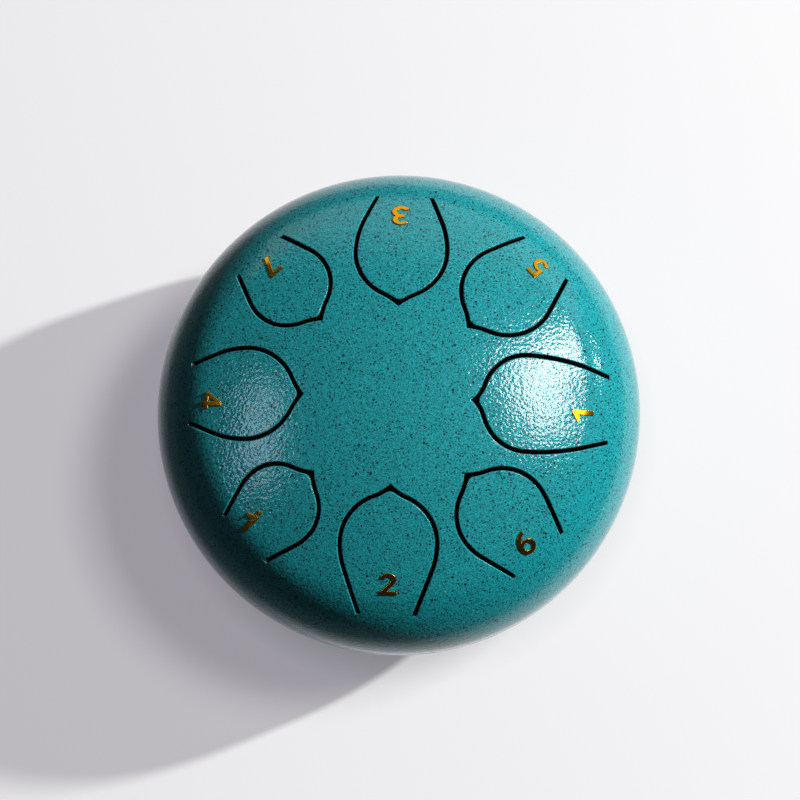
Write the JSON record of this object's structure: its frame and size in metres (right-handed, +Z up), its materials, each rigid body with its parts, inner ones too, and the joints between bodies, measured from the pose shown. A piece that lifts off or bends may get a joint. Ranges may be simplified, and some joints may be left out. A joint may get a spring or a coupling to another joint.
{
  "type": "steel tongue drum",
  "caption": "Round steel tongue drum: a painted dome with spade-shaped tongues cut into it, welded to a bowl with a sound hole and rubber feet. It is struck with mallets or fingers.",
  "frame": {"origin": "on the floor under the middle of the drum, at the feet's lowest plane", "axes": "+Z up along the drum's axis, +X towards the longest tongue, +Y towards tongue 3"},
  "size_m": [0.155, 0.155, 0.084],
  "materials": {
    "speckled_enamel": "teal baked enamel with fine dark and pale specks, semi-gloss orange peel",
    "foot_rubber": "black moulded rubber, matte",
    "zinc_steel": "bright zinc plated steel",
    "gold_foil": "mirror gold foil, raised numerals"
  },
  "bodies": {
    "drum": {"upper_shell": "speckled_enamel", "lower_shell": "speckled_enamel", "seam_weld": "speckled_enamel", "foot_back": "foot_rubber", "foot_left": "foot_rubber", "foot_right": "foot_rubber", "foot_washers": "zinc_steel", "foot_screws": "zinc_steel"},
    "tongue_1_low": {"tongue_1_low": "speckled_enamel"},
    "tongue_2": {"tongue_2": "speckled_enamel"},
    "tongue_3": {"tongue_3": "speckled_enamel"},
    "tongue_4": {"tongue_4": "speckled_enamel"},
    "tongue_5": {"tongue_5": "speckled_enamel"},
    "tongue_6": {"tongue_6": "speckled_enamel"},
    "tongue_7": {"tongue_7": "speckled_enamel"},
    "tongue_1_high": {"tongue_1_high": "speckled_enamel"}
  },
  "joints": [
    {"name": "tongue_1_low_bend", "type": "hinge", "parent": "drum", "child": "tongue_1_low", "pos_m": [0.06578, 0, 0.07183], "axis": [0, 1, 0], "range_deg": [-0.5, 0.5], "stiffness_Nm_per_rad": 74},
    {"name": "tongue_2_bend", "type": "hinge", "parent": "drum", "child": "tongue_2", "pos_m": [0, -0.06568, 0.07189], "axis": [1, 0, 0], "range_deg": [-0.5, 0.5], "stiffness_Nm_per_rad": 67},
    {"name": "tongue_3_bend", "type": "hinge", "parent": "drum", "child": "tongue_3", "pos_m": [0, 0.06519, 0.07221], "axis": [-1, 0, 0], "range_deg": [-0.5, 0.5], "stiffness_Nm_per_rad": 71},
    {"name": "tongue_4_bend", "type": "hinge", "parent": "drum", "child": "tongue_4", "pos_m": [-0.06393, 0, 0.07298], "axis": [0, -1, 0], "range_deg": [-0.5, 0.5], "stiffness_Nm_per_rad": 77},
    {"name": "tongue_5_bend", "type": "hinge", "parent": "drum", "child": "tongue_5", "pos_m": [0.04489, 0.04714, 0.07228], "axis": [-0.7242, 0.6896, 0], "range_deg": [-0.5, 0.5], "stiffness_Nm_per_rad": 84},
    {"name": "tongue_6_bend", "type": "hinge", "parent": "drum", "child": "tongue_6", "pos_m": [0.04569, -0.04569, 0.07258], "axis": [0.7071, 0.7071, 0], "range_deg": [-0.5, 0.5], "stiffness_Nm_per_rad": 91},
    {"name": "tongue_7_bend", "type": "hinge", "parent": "drum", "child": "tongue_7", "pos_m": [-0.04459, 0.04459, 0.07345], "axis": [-0.7071, -0.7071, 0], "range_deg": [-0.5, 0.5], "stiffness_Nm_per_rad": 92},
    {"name": "tongue_1_high_bend", "type": "hinge", "parent": "drum", "child": "tongue_1_high", "pos_m": [-0.04438, -0.04438, 0.0736], "axis": [0.7071, -0.7071, 0], "range_deg": [-0.5, 0.5], "stiffness_Nm_per_rad": 98}
  ]
}
